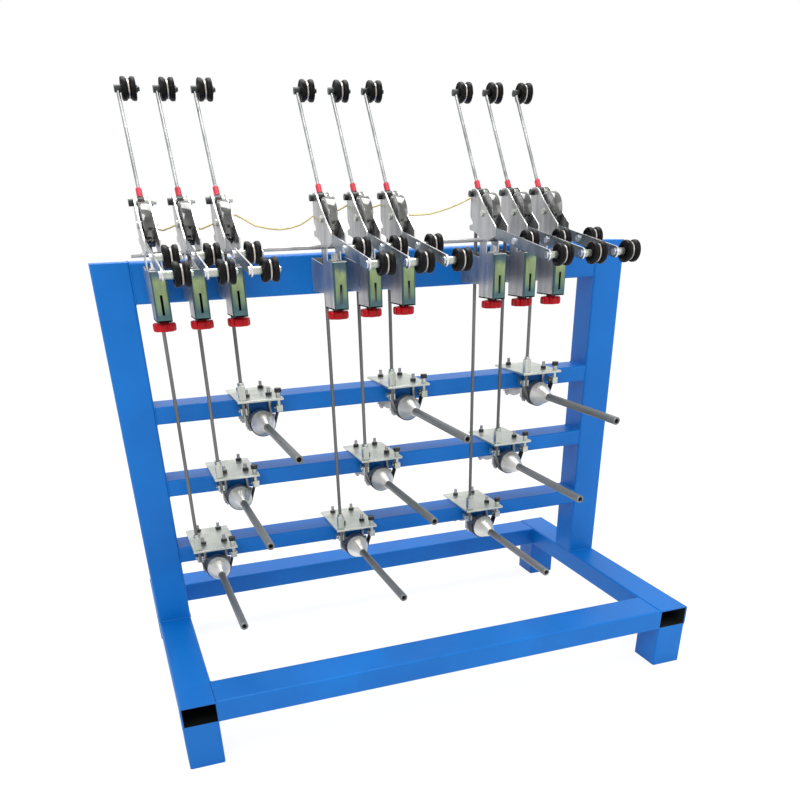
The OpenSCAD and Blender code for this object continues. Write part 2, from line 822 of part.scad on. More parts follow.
dancer_pulley(8);  // dancer_pulley_8
dancer_pulley(9);  // dancer_pulley_9
tension_wheel(1);  // tension_wheel_1
tension_wheel(2);  // tension_wheel_2
tension_wheel(3);  // tension_wheel_3
tension_wheel(4);  // tension_wheel_4
tension_wheel(5);  // tension_wheel_5
tension_wheel(6);  // tension_wheel_6
tension_wheel(7);  // tension_wheel_7
tension_wheel(8);  // tension_wheel_8
tension_wheel(9);  // tension_wheel_9
tension_knob(1);  // tension_knob_1
tension_knob(2);  // tension_knob_2
tension_knob(3);  // tension_knob_3
tension_knob(4);  // tension_knob_4
tension_knob(5);  // tension_knob_5
tension_knob(6);  // tension_knob_6
tension_knob(7);  // tension_knob_7
tension_knob(8);  // tension_knob_8
tension_knob(9);  // tension_knob_9
spindle(1);  // spindle_1
spindle(2);  // spindle_2
spindle(3);  // spindle_3
spindle(4);  // spindle_4
spindle(5);  // spindle_5
spindle(6);  // spindle_6
spindle(7);  // spindle_7
spindle(8);  // spindle_8
spindle(9);  // spindle_9
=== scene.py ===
# Wire pay-off frame: the looks of a blue stand with braked spindles below and tension heads above.
import math

import bmesh
import bpy
from mathutils import Matrix, Vector


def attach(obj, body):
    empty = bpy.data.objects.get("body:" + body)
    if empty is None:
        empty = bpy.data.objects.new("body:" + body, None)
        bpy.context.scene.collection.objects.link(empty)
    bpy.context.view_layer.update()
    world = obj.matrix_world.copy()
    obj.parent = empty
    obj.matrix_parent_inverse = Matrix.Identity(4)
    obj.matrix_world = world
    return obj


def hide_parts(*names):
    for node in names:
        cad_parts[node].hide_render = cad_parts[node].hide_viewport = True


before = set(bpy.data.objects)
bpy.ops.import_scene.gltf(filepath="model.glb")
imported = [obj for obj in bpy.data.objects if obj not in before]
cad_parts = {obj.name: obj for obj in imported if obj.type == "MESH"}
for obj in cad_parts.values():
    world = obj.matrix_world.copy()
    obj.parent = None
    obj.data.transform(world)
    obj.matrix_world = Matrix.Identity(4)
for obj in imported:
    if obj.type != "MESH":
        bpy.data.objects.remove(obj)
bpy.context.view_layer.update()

# Camera, at the photograph's place, with the shift of its cropped framing
CAM_PLACE = (-0.65988, -1.82411, 1.04163)
CAM_YAW, CAM_PITCH, CAM_ROLL = 0.32402, -0.52096, -0.03501
CAM_FOCAL = 778.587
CAM_CENTRE = (388.001, 664.785)
IMAGE, SENSOR, CAM_REACH = 800, 36.0, 50


def make_camera():
    sy, cy = math.sin(CAM_YAW), math.cos(CAM_YAW)
    sp, cp = math.sin(CAM_PITCH), math.cos(CAM_PITCH)
    forward = Vector((sy * cp, cy * cp, sp))
    right = Vector((cy, -sy, 0.0))
    up = right.cross(forward)
    cr, sr = math.cos(CAM_ROLL), math.sin(CAM_ROLL)
    right, up = right * cr + up * sr, up * cr - right * sr
    data = bpy.data.cameras.new("photo_camera")
    data.sensor_width = SENSOR
    data.lens = SENSOR * CAM_FOCAL / IMAGE
    data.shift_x = (IMAGE / 2 - CAM_CENTRE[0]) / IMAGE
    data.shift_y = (CAM_CENTRE[1] - IMAGE / 2) / IMAGE
    data.clip_end = CAM_REACH
    camera = bpy.data.objects.new("photo_camera", data)
    bpy.context.scene.collection.objects.link(camera)
    place = Matrix((right, up, -forward)).transposed().to_4x4()
    place.translation = Vector(CAM_PLACE)
    camera.matrix_world = place
    bpy.context.scene.camera = camera


make_camera()

# Places of the units, in metres: the first unit's brake rod, the pitch in a group of three, and from group to group
UNITS = range(1, 10)
FIRST_X, PITCH, GROUP = -0.516, 0.075, 0.363
# Tops of the base and of the beam, and of the lowest cross bar with the step up to the next
BASE_TOP, BEAM_TOP = 0.158, 0.977
LOW_BAR, BAR_STEP = 0.347, 0.169
# Heads: foot and height, depth and height of the top pin and of the tension wheel, and lean of the dancer arm
HEAD_Z, HEAD_H = 0.877, 0.214
PIN, WHEEL = (0.0021, 1.082), (-0.0494, 1.0439)
ARM_LEAN = math.radians(35)
# Places from a unit's brake rod: middle of the head, middle of the pulleys, and spindle with its drop from the bar
HEAD_MIDDLE, PULLEY_X = -0.005, 0.016
SPINDLE_X, SPINDLE_DROP = 0.042, 0.051
# Depth of the brake rods
ROD_Y = 0.027


def unit_x(i):
    return FIRST_X + (i - 1) // 3 * GROUP + (i - 1) % 3 * PITCH


def bar_top(i):
    return LOW_BAR + (i - 1) % 3 * BAR_STEP


# Angle between sides that still look smooth, and the limit below which a face doesn't look along X
SHARP_ANGLE, SIDEWAYS = math.radians(35), 0.5
# How far below a bar's top the parts of its unit reach, with some air
UNIT_BELOW = 0.085
# Sockets of a mix for colours and for numbers: first value, second value and result
MIX_SOCKETS = {"RGBA": (6, 7, 2), "FLOAT": (2, 3, 0)}


class Shade:
    """A material under construction; every value given to it is a number, a colour or a socket."""

    def __init__(self, name):
        self.material = bpy.data.materials.new(name)
        self.material.use_nodes = True
        self.tree = self.material.node_tree
        self.shader = self.tree.nodes["Principled BSDF"]
        place = self.tree.nodes.new("ShaderNodeTexCoord")
        split = self.tree.nodes.new("ShaderNodeSeparateXYZ")
        self.place = place.outputs["Object"]
        self.tree.links.new(self.place, split.inputs[0])
        self.x, self.y, self.z = split.outputs

    def put(self, value, socket):
        if isinstance(value, (int, float)):
            socket.default_value = value
        elif isinstance(value, tuple):
            socket.default_value = (*value, 1.0)
        else:
            self.tree.links.new(value, socket)

    def math(self, kind, *values):
        node = self.tree.nodes.new("ShaderNodeMath")
        node.operation = kind
        for value, socket in zip(values, node.inputs):
            self.put(value, socket)
        return node.outputs[0]

    def within(self, value, low, high):
        """1 where the value lies between low and high."""
        return self.math("COMPARE", value, (low + high) / 2, (high - low) / 2)

    def both(self, a, b):
        """1 where both masks are 1."""
        return self.math("MULTIPLY", a, b)

    def radius(self, a, centre_a, b, centre_b):
        """Distance from an axis, in the plane of a and b."""
        da = self.math("SUBTRACT", a, centre_a)
        db = self.math("SUBTRACT", b, centre_b)
        return self.math("SQRT", self.math("ADD", self.math("MULTIPLY", da, da), self.math("MULTIPLY", db, db)))

    def edge_on_x(self):
        """1 on faces that don't look along X, such as the cut edges of an upright sheet."""
        place = self.tree.nodes.new("ShaderNodeTexCoord")
        split = self.tree.nodes.new("ShaderNodeSeparateXYZ")
        self.tree.links.new(place.outputs["Normal"], split.inputs[0])
        return self.math("LESS_THAN", self.math("ABSOLUTE", split.outputs[0]), SIDEWAYS)

    def unit_place(self):
        """Distance along X from the nearest unit's brake rod, for what is narrower than the pitch."""
        start = self.math("SUBTRACT", self.x, FIRST_X - PITCH / 2)
        in_group = self.math("FLOORED_MODULO", start, GROUP)
        return self.math("SUBTRACT", self.math("FLOORED_MODULO", in_group, PITCH), PITCH / 2)

    def low_place(self):
        """Distances from a spindle unit's brake rod and from its bar's top, told apart by their height."""
        above = self.math("SUBTRACT", self.z, LOW_BAR - UNIT_BELOW)
        step = self.math("FLOOR", self.math("DIVIDE", above, BAR_STEP))
        z = self.math("SUBTRACT", self.math("SUBTRACT", self.z, LOW_BAR), self.math("MULTIPLY", step, BAR_STEP))
        x = self.math("SUBTRACT", self.x, self.math("MULTIPLY", step, PITCH))
        start = self.math("SUBTRACT", x, FIRST_X - PITCH / 2)
        return self.math("SUBTRACT", self.math("FLOORED_MODULO", start, GROUP), PITCH / 2), z

    def noise(self, scale, detail=3.0, stretch=(1, 1, 1)):
        mapping = self.tree.nodes.new("ShaderNodeMapping")
        mapping.inputs["Scale"].default_value = stretch
        noise = self.tree.nodes.new("ShaderNodeTexNoise")
        noise.inputs["Scale"].default_value = scale
        noise.inputs["Detail"].default_value = detail
        self.tree.links.new(self.place, mapping.inputs["Vector"])
        self.tree.links.new(mapping.outputs["Vector"], noise.inputs["Vector"])
        return noise.outputs["Fac"]

    def span(self, value, from_low, from_high, to_low=0.0, to_high=1.0):
        node = self.tree.nodes.new("ShaderNodeMapRange")
        limits = {"From Min": from_low, "From Max": from_high, "To Min": to_low, "To Max": to_high}
        for name, number in limits.items():
            node.inputs[name].default_value = number
        self.put(value, node.inputs["Value"])
        return node.outputs["Result"]

    def mix(self, factor, a, b, kind="RGBA"):
        node = self.tree.nodes.new("ShaderNodeMix")
        node.data_type = kind
        first, second, result = MIX_SOCKETS[kind]
        self.put(factor, node.inputs[0])
        self.put(a, node.inputs[first])
        self.put(b, node.inputs[second])
        return node.outputs[result]

    def ramp(self, value, stops):
        node = self.tree.nodes.new("ShaderNodeValToRGB")
        while len(node.color_ramp.elements) < len(stops):
            node.color_ramp.elements.new(0.5)
        for element, (place, colour) in zip(node.color_ramp.elements, stops):
            element.position = place
            element.color = (*colour, 1.0)
        self.put(value, node.inputs["Fac"])
        return node.outputs["Color"]

    def bump(self, height, strength, distance):
        node = self.tree.nodes.new("ShaderNodeBump")
        node.inputs["Strength"].default_value = strength
        node.inputs["Distance"].default_value = distance
        self.put(height, node.inputs["Height"])
        self.tree.links.new(node.outputs["Normal"], self.shader.inputs["Normal"])


# Pitch of the screw threads, and their depth in the bump
THREAD_PITCH, THREAD_DEPTH = 0.00125, 4.0

# A finish: darker and lighter colour, metallic, smoothest and roughest
PAINT = ((0.0, 0.118, 0.43), (0.0, 0.142, 0.50), 0.0, 0.40, 0.50)
ZINC = ((0.40, 0.43, 0.38), (0.60, 0.62, 0.56), 0.85, 0.22, 0.36)
GREY_ZINC = ((0.30, 0.31, 0.32), (0.46, 0.47, 0.48), 0.8, 0.26, 0.40)
PLATE_ZINC = ((0.42, 0.46, 0.42), (0.62, 0.64, 0.58), 0.8, 0.24, 0.40)
STEEL = ((0.30, 0.30, 0.31), (0.48, 0.48, 0.49), 0.9, 0.22, 0.36)
BRIGHT = ((0.66, 0.66, 0.66), (0.85, 0.85, 0.84), 0.9, 0.16, 0.28)
ROD = ((0.10, 0.10, 0.10), (0.18, 0.18, 0.18), 0.7, 0.30, 0.45)
DARK = ((0.020, 0.022, 0.022), (0.060, 0.062, 0.062), 0.6, 0.28, 0.42)
MIRROR = ((0.09, 0.09, 0.09), (0.22, 0.22, 0.21), 0.95, 0.10, 0.20)
SATIN = ((0.26, 0.26, 0.27), (0.40, 0.40, 0.41), 0.8, 0.30, 0.42)
ALU = ((0.50, 0.50, 0.47), (0.84, 0.83, 0.78), 0.75, 0.30, 0.42)
BLACK = ((0.0015, 0.0012, 0.0015), (0.005, 0.0045, 0.005), 0.0, 0.30, 0.46)
CORE = ((0.30, 0.28, 0.26), (0.55, 0.50, 0.46), 0.8, 0.25, 0.40)
TUBE = ((0.13, 0.14, 0.135), (0.22, 0.23, 0.225), 0.7, 0.34, 0.48)
BAR = ((0.15, 0.18, 0.21), (0.27, 0.30, 0.32), 0.8, 0.22, 0.36)
RED = ((0.30, 0.0, 0.003), (0.45, 0.0, 0.006), 0.0, 0.28, 0.40)
ROSE = ((0.42, 0.008, 0.028), (0.56, 0.016, 0.045), 0.0, 0.34, 0.46)
ARM = ((0.22, 0.23, 0.23), (0.38, 0.39, 0.39), 0.8, 0.28, 0.40)
TAN = ((0.50, 0.40, 0.13), (0.66, 0.54, 0.20), 0.0, 0.38, 0.50)
RUBBER = ((0.008, 0.008, 0.008), (0.024, 0.024, 0.024), 0.0, 0.50, 0.66)

# Parts of the noise over which a finish changes in colour and in roughness, and the roughness of a clear coat
COLOUR_DRIFT, ROUGH_DRIFT = (0.35, 0.65), (0.3, 0.7)
COAT_ROUGHNESS = 0.12


def finish(shade, base, zones=(), scale=16.0, grain=(420, 0.08, 0.0002), stretch=(1, 1, 1), coat=0.0,
           gloss=0.5, thread=None):
    """Colour, metallic and roughness from the base finish, and from each zone's where its mask is 1.

    The grain is the scale, strength and depth of the bump, and thread is the mask of threaded places.
    """
    drift = shade.noise(scale, stretch=stretch)
    spread = shade.span(drift, *COLOUR_DRIFT)
    colour = shade.mix(spread, base[0], base[1])
    metallic, rough = base[2], shade.span(drift, *ROUGH_DRIFT, base[3], base[4])
    for mask, look in zones:
        colour = shade.mix(mask, colour, shade.mix(spread, look[0], look[1]))
        if look[2] != metallic:
            metallic = shade.mix(mask, metallic, look[2], "FLOAT")
        rough = shade.mix(mask, rough, shade.span(drift, *ROUGH_DRIFT, look[3], look[4]), "FLOAT")
    shade.put(colour, shade.shader.inputs["Base Color"])
    shade.put(metallic, shade.shader.inputs["Metallic"])
    shade.put(rough, shade.shader.inputs["Roughness"])
    height = shade.noise(grain[0], stretch=stretch)
    if thread is not None:
        turns = shade.math("SINE", shade.math("MULTIPLY", shade.z, 2 * math.pi / THREAD_PITCH))
        height = shade.math("ADD", height, shade.both(thread, shade.math("MULTIPLY", turns, THREAD_DEPTH)))
    shade.bump(height, grain[1], grain[2])
    shade.shader.inputs["Specular IOR Level"].default_value = gloss
    if coat:
        shade.shader.inputs["Coat Weight"].default_value = coat
        shade.shader.inputs["Coat Roughness"].default_value = COAT_ROUGHNESS
    return shade.material


def plain(name, look, **more):
    return finish(Shade(name), look, **more)


# Limits of the zones are in metres, in the frame unless a comment says otherwise

# Painted shade on the insides of the open base rails, by distance from the middle of the stand and by height
RAIL_INSIDE_X, RAIL_INSIDE_Z = (0.5635, 0.6365), (0.1095, 0.1545)


def blue_paint():
    shade = Shade("blue_paint")
    across = shade.math("ABSOLUTE", shade.x)
    # Painted shade: the insides of the rails take the dark finish
    inside = shade.both(shade.within(across, *RAIL_INSIDE_X), shade.within(shade.z, *RAIL_INSIDE_Z))
    return finish(shade, PAINT, [(inside, DARK)], scale=5.0, grain=(240, 0.14, 0.0005), coat=0.05, gloss=0.22)


# Front wall of a head: painted reflections by share of its height, colours of the streaks in them, painted shade on
# its folds and painted highlight on its upper lip
WALL_PAINTED_REFLECTIONS = ((0.0, (0.09, 0.17, 0.17)), (0.16, (0.07, 0.14, 0.16)), (0.3, (0.18, 0.27, 0.17)),
              (0.55, (0.25, 0.33, 0.16)), (0.78, (0.33, 0.41, 0.20)), (0.9, (0.10, 0.16, 0.19)),
              (1.0, (0.08, 0.14, 0.18)))
WALL_STREAK, WALL_FOLD_SHADE, WALL_LIP_HIGHLIGHT = (0.06, 0.10, 0.10), (0.05, 0.10, 0.11), (0.72, 0.74, 0.70)
# How far the painted reflections wander up and down, with the scale of that; scale, part and strength of the streaks
WOBBLE, WOBBLE_SCALE = 0.35, 22.0
STREAK_SCALE, STREAK_PART, STREAK_STRENGTH = 90.0, (0.42, 0.75), 0.55
WALL_METALLIC = 0.8
# Side plates of a head: darker and lighter grey, painted highlight on the cut edges, and painted shade in the hollow
# between the plates
SIDE_DARK, SIDE_LIGHT, SIDE_EDGE_HIGHLIGHT = (0.30, 0.30, 0.31), (0.46, 0.46, 0.46), (0.80, 0.80, 0.77)
SIDE_HOLLOW_SHADE, SIDE_STREAK_SCALE, SIDE_METALLIC = (0.015, 0.018, 0.018), 60.0, 0.75
# Where they lie; across is the distance from the middle of the head
WALL_Y, WALL_Z, REFLECTION_Z, LIP_Z = (-0.12, -0.1085), (0.86, 0.968), (0.874, 0.9675), (0.9658, 0.9690)
FOLD_ACROSS, EDGES_FROM_Z = (0.0118, 0.0150), 0.9676
HOLLOW_ACROSS, HOLLOW_Y, HOLLOW_Z = 0.0132, (-0.1094, -0.0380), (0.8773, 0.9600)


def head_sheet():
    """Folded housing: painted reflections drifting from blue-grey over yellow-green to teal down the front wall."""
    shade = Shade("head_sheet")
    material = finish(shade, GREY_ZINC, scale=30.0)
    across = shade.math("ABSOLUTE", shade.math("SUBTRACT", shade.unit_place(), HEAD_MIDDLE))

    # Painted reflections on the front wall: lighter and darker by height, with darker streaks
    wobble = shade.math("MULTIPLY", shade.math("SUBTRACT", shade.noise(WOBBLE_SCALE), 0.5), WOBBLE)
    painted_reflection = shade.ramp(shade.math("ADD", shade.span(shade.z, *REFLECTION_Z), wobble), WALL_PAINTED_REFLECTIONS)
    streaks = shade.noise(STREAK_SCALE, stretch=(1, 1, 0.3))
    streaks = shade.span(streaks, *STREAK_PART, 0.0, STREAK_STRENGTH)
    painted_reflection = shade.mix(streaks, painted_reflection, WALL_STREAK)
    # Painted shade on the rounded folds of the front wall
    painted_reflection = shade.mix(shade.within(across, *FOLD_ACROSS), painted_reflection, WALL_FOLD_SHADE)
    # Painted highlight along the upper lip of the front wall
    painted_reflection = shade.mix(shade.within(shade.z, *LIP_Z), painted_reflection, WALL_LIP_HIGHLIGHT)

    streaks = shade.span(shade.noise(SIDE_STREAK_SCALE, stretch=(1, 1, 0.12)), *COLOUR_DRIFT)
    sides = shade.mix(streaks, SIDE_DARK, SIDE_LIGHT)
    # Painted highlight on the cut edges of the side plates, picked by the way the faces look
    lit_edges = shade.both(shade.edge_on_x(), shade.math("GREATER_THAN", shade.z, EDGES_FROM_Z))
    sides = shade.mix(lit_edges, sides, SIDE_EDGE_HIGHLIGHT)
    # Painted shade: the hollow between the plates inside the housing is made near black
    hollow_shade = shade.both(shade.math("LESS_THAN", across, HOLLOW_ACROSS), shade.within(shade.y, *HOLLOW_Y))
    hollow_shade = shade.both(hollow_shade, shade.within(shade.z, *HOLLOW_Z))
    sides = shade.mix(hollow_shade, sides, SIDE_HOLLOW_SHADE)

    wall = shade.both(shade.within(shade.y, *WALL_Y), shade.within(shade.z, *WALL_Z))
    shade.put(shade.mix(wall, sides, painted_reflection), shade.shader.inputs["Base Color"])
    shade.put(shade.mix(wall, SIDE_METALLIC, WALL_METALLIC, "FLOAT"), shade.shader.inputs["Metallic"])
    return material


# Tension screw of a head with its spring column, washer and thread; guide bolts; left end of the top pin
SCREW_DEPTH, COLUMN_Z, WASHER_Z, SCREW_THREAD_Z = (-0.11, -0.06), (0.86, 0.967), (0.967, 0.99), (0.979, 0.99)
GUIDE_DEPTH, GUIDE_END_X = (-0.36, -0.18), -0.0155
PIN_DEPTH, PIN_END_X = (-0.01, 0.02), -0.0205


def head_pins():
    shade = Shade("head_pins")
    x = shade.unit_place()
    on_screw = shade.within(shade.y, *SCREW_DEPTH)
    # Painted shade: the spring column inside the housing takes the near-black finish
    shaded_column = shade.both(shade.within(shade.z, *COLUMN_Z), on_screw)
    washer = shade.both(shade.within(shade.z, *WASHER_Z), on_screw)
    bolts = shade.within(shade.y, *GUIDE_DEPTH)
    ends = shade.both(bolts, shade.math("LESS_THAN", x, GUIDE_END_X))
    left_end = shade.both(shade.within(shade.y, *PIN_DEPTH), shade.math("LESS_THAN", x, PIN_END_X))
    return finish(shade, ZINC, [(shaded_column, RUBBER), (washer, BRIGHT), (bolts, ZINC), (ends, BRIGHT), (left_end, DARK)],
                  scale=40.0, thread=shade.within(shade.z, *SCREW_THREAD_Z))


def guide_bars():
    shade = Shade("guide_bars")
    # Painted highlight: the bar's edges, which don't look along X, get the bright finish
    return finish(shade, BAR, [(shade.edge_on_x(), BRIGHT)], scale=26.0)


# Along a dancer arm, from its pin: end of the hub, end of the sleeve, and start of the eye
HUB_END, SLEEVE_END, EYE_START = 0.0092, 0.0272, 0.2328


def dancer_arm(i):
    shade = Shade("arm_%d" % i)
    y = shade.math("SUBTRACT", shade.y, PIN[0])
    z = shade.math("SUBTRACT", shade.z, PIN[1])
    along = shade.math("ADD", shade.math("MULTIPLY", y, math.sin(ARM_LEAN)),
                       shade.math("MULTIPLY", z, math.cos(ARM_LEAN)))
    sleeve = shade.within(along, HUB_END, SLEEVE_END)
    hub = shade.math("LESS_THAN", along, HUB_END)
    eye = shade.math("GREATER_THAN", along, EYE_START)
    return finish(shade, ARM, [(sleeve, ROSE), (hub, DARK), (eye, DARK)], scale=30.0)


# Half the width of the light ring seen between a pulley's flanges
CORE_BAND = 0.0013


def pulleys(name):
    shade = Shade(name)
    core = shade.within(shade.unit_place(), PULLEY_X - CORE_BAND, PULLEY_X + CORE_BAND)
    return finish(shade, BLACK, [(core, CORE)], scale=40.0, gloss=0.12)


# Radii of a tension wheel: where its rim begins, and where its boss ends
RIM_FROM_R, BOSS_R = 0.0374, 0.0125


def tension_wheel(i):
    shade = Shade("wheel_%d" % i)
    radius = shade.radius(shade.y, WHEEL[0], shade.z, WHEEL[1])
    rim = shade.math("GREATER_THAN", radius, RIM_FROM_R)
    boss = shade.math("LESS_THAN", radius, BOSS_R)
    return finish(shade, SATIN, [(rim, MIRROR), (boss, DARK)], scale=30.0)


# Block and nut round a brake rod: heights above the bar's top, and the radius from which they count
BLOCK_SPAN, BLOCK_FROM_R = (0.0, 0.0445), 0.0042


def brake_rods():
    shade = Shade("brake_rods")
    height = shade.low_place()[1]
    radius = shade.radius(shade.unit_place(), 0.0, shade.y, ROD_Y)
    block = shade.both(shade.within(height, *BLOCK_SPAN), shade.math("GREATER_THAN", radius, BLOCK_FROM_R))
    return finish(shade, ROD, [(block, ZINC)], scale=30.0, stretch=(1, 1, 0.1))


# Nuts on the plates, by height above the bar's top, and the rear bearing's cap
STUD_NUTS, CAP_FROM_Y = (0.004, 0.0115), 0.1625


def bearing_housings():
    shade = Shade("bearings")
    height = shade.low_place()[1]
    nuts = shade.within(height, *STUD_NUTS)
    studs = shade.math("GREATER_THAN", height, STUD_NUTS[1])
    cap = shade.math("GREATER_THAN", shade.y, CAP_FROM_Y)
    return finish(shade, GREY_ZINC, [(cap, STEEL), (nuts, DARK), (studs, STEEL)], scale=30.0, thread=studs)


# Strap of a brake: radius of its lining round the spindle, heights of its clamps and of the adjusting bolt's top
# from the bar's top, and the bolt's least distance from the brake rod
LINING_R, CLAMP_SPAN, BOLT_TOP, BOLT_FROM_X = 0.0314, (-0.0282, -0.0138), 0.0148, 0.07


def brake_bands():
    shade = Shade("brake_bands")
    x, z = shade.low_place()
    radius = shade.radius(x, SPINDLE_X, z, -SPINDLE_DROP)
    lining = shade.math("LESS_THAN", radius, LINING_R)
    clamps = shade.within(z, *CLAMP_SPAN)
    knob = shade.math("GREATER_THAN", z, BOLT_TOP)
    bolt = shade.both(shade.within(z, CLAMP_SPAN[1], BOLT_TOP), shade.math("GREATER_THAN", x, BOLT_FROM_X))
    return finish(shade, DARK, [(lining, RUBBER), (clamps, ZINC), (bolt, ZINC), (knob, BLACK)], scale=30.0)


# Cone of a spindle, by radius outside the shaft and by depth; the drum begins where it ends
CONE_FROM_R, CONE_DEPTH = 0.0087, (-0.022, 0.0275)


def spindle(i):
    shade = Shade("spindle_%d" % i)
    radius = shade.radius(shade.x, unit_x(i) + SPINDLE_X, shade.z, bar_top(i) - SPINDLE_DROP)
    cone = shade.both(shade.math("GREATER_THAN", radius, CONE_FROM_R), shade.within(shade.y, *CONE_DEPTH))
    drum = shade.math("GREATER_THAN", shade.y, CONE_DEPTH[1])
    # Noise drawn out along the axis streaks the parts; on the cone these lighter and darker streaks are painted
    # reflections
    return finish(shade, TUBE, [(cone, ALU), (drum, GREY_ZINC)], scale=30.0, stretch=(1, 0.1, 1))


BLUE = blue_paint()
LOOKS = {
    "side_rails": BLUE, "cross_members": BLUE, "posts": BLUE, "head_frames": head_sheet(),
    "head_pins": head_pins(), "mounting_brackets": plain("brackets", GREY_ZINC), "guide_bars": guide_bars(),
    "cross_rod": plain("cross_rod", STEEL), "brake_plates": plain("brake_plates", PLATE_ZINC, scale=24.0),
    "brake_rods": brake_rods(), "bearing_housings": bearing_housings(), "brake_bands": brake_bands(),
    "signal_wire": plain("signal_wire", TAN, scale=40.0), "guide_pulleys_inner": pulleys("pulleys_inner"),
    "guide_pulleys_outer": pulleys("pulleys_outer"),
}
RED_KNOB = plain("red_knob", RED, scale=20.0, coat=0.04, gloss=0.2)
PULLEY = pulleys("pulleys_top")
for i in UNITS:
    LOOKS["dancer_arm_%d" % i] = dancer_arm(i)
    LOOKS["dancer_pulley_%d" % i] = PULLEY
    LOOKS["tension_wheel_%d" % i] = tension_wheel(i)
    LOOKS["tension_knob_%d" % i] = RED_KNOB
    LOOKS["spindle_%d" % i] = spindle(i)

for name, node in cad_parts.items():
    for place in node.material_slots:
        place.material = LOOKS[name]


# Directions
RIGHT, BACK, FRONT, UP = Vector((1, 0, 0)), Vector((0, 1, 0)), Vector((0, -1, 0)), Vector((0, 0, 1))
# Numbers of sides of round forms
FINE, COARSE, BOLT_SIDES, HEXAGON = 96, 48, 32, 6


def new_piece(name, verts, faces, material, body, slot, smooth=True):
    """A piece of the object, with all its faces looking outward, that rides on a body."""
    mesh = bpy.data.meshes.new(name)
    mesh.from_pydata([tuple(v) for v in verts], [], faces)
    mesh.validate()
    bm = bmesh.new()
    bm.from_mesh(mesh)
    bmesh.ops.recalc_face_normals(bm, faces=bm.faces)
    bm.to_mesh(mesh)
    bm.free()
    for polygon in mesh.polygons:
        polygon.use_smooth = smooth
    if smooth:
        mesh.set_sharp_from_angle(angle=SHARP_ANGLE)
    piece = bpy.data.objects.new(name, mesh)
    bpy.context.scene.collection.objects.link(piece)
    mesh.materials.append(material)
    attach(piece, body)
    return piece


def lofted(sections, closed=False):
    """Vertices and faces of closed sections of equal length, capped at both ends or joined to a ring."""
    n, count = len(sections[0]), len(sections)
    verts = [v for section in sections for v in section]
    faces = [] if closed else [tuple(reversed(range(n))), tuple(range((count - 1) * n, count * n))]
    for k in range(count if closed else count - 1):
        after = (k + 1) % count
        for j in range(n):
            m = (j + 1) % n
            faces.append((k * n + j, k * n + m, after * n + m, after * n + j))
    return verts, faces


def turned(centre, axis, up, profile, sides):
    """Sections round an axis from (radius, distance) pairs."""
    side = up.cross(axis)
    angles = [2 * math.pi * k / sides for k in range(sides)]
    return [[centre + axis * height + radius * (math.cos(angle) * side + math.sin(angle) * up) for angle in angles]
            for radius, height in profile]


def merged(parts):
    """Vertices and faces of several parts as one."""
    verts, faces = [], []
    for part_verts, part_faces in parts:
        start = len(verts)
        verts += part_verts
        faces += [tuple(start + k for k in face) for face in part_faces]
    return verts, faces


def box_of(name):
    """Lowest and highest corner of a node, at rest."""
    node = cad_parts[name]
    corners = [node.matrix_world @ Vector(corner) for corner in node.bound_box]
    return [Vector([pick(c[k] for c in corners) for k in range(3)]) for pick in (min, max)]


def middle_of(name):
    corners = box_of(name)
    return (corners[0] + corners[1]) / 2


# Head frames: outlined side plates, a front wall with folded edges and a slot, and a floor
HEAD_FRONT, HEAD_D, HEAD_LEFT, HEAD_RIGHT = -0.112, 0.136, -0.0205, 0.0105
# Thickness of the sheet, and outer radius of its folds
SHEET, FOLD_R = 0.0025, 0.004
# Share of the height at which the front wall ends, and of the depth at which the floor ends
WALL_SHARE, HOUSING_SHARE = 0.423, 0.538
SLOT_HALF, SLOT_LOW, SLOT_HIGH = 0.0025, 0.88898, 0.92494
# Points of a fold: the step between them in degrees, and their number
FOLD_STEP, FOLD_POINTS = 15, 7
# Outline of a side plate, as shares of its depth and height
PLATE = ((HOUSING_SHARE, 0), (HOUSING_SHARE, 0.5), (0.6, 0.58), (0.769, 0.617), (0.941, 0.631), (0.955, 0.653),
         (0.95, 0.674), (0.83, 0.684), (0.83, 0.703), (0.915, 0.745), (0.93, 0.778), (0.915, 0.9), (0.93, 0.958),
         (0.885, 1), (0.76, 1), (0.677, 0.978), (0.594, 0.934), (0.476, 0.874), (0.221, 0.756), (0, 0.665),
         (0, 0.575), (0.3, 0.53), (0.3, WALL_SHARE), (FOLD_R / HEAD_D, WALL_SHARE), (FOLD_R / HEAD_D, 0))


def extruded(points, place, low, high):
    """A flat outline drawn out between two distances; place gives the point in space."""
    return lofted([[place(a, b, low) for a, b in points], [place(a, b, high) for a, b in points]])


def corner(x, start, radius):
    """Round front corner, from its first angle in degrees on through a quarter turn."""
    angles = [math.radians(start + FOLD_STEP * k) for k in range(FOLD_POINTS)]
    middle = HEAD_FRONT + FOLD_R
    return [(x + radius * math.cos(angle), middle + radius * math.sin(angle)) for angle in angles]


def front_wall(left, right):
    """Plan of the front wall from one side to the other; an end at the slot is cut square."""
    whole_left, whole_right = left == HEAD_LEFT, right == HEAD_RIGHT
    points = corner(left + FOLD_R, 180, FOLD_R) if whole_left else [(left, HEAD_FRONT)]
    points += corner(right - FOLD_R, 270, FOLD_R) if whole_right else [(right, HEAD_FRONT)]
    inside = FOLD_R - SHEET
    points += corner(right - FOLD_R, 270, inside)[::-1] if whole_right else [(right, HEAD_FRONT + SHEET)]
    points += corner(left + FOLD_R, 180, inside)[::-1] if whole_left else [(left, HEAD_FRONT + SHEET)]
    return points


def upright(i):
    """Sets the points of a plan in head i, at a height."""
    return lambda x, y, z: Vector((unit_x(i) + x, y, z))


def sideways(i):
    """Sets the points of a side view in head i, at a distance across."""
    return lambda y, z, x: Vector((unit_x(i) + x, y, z))


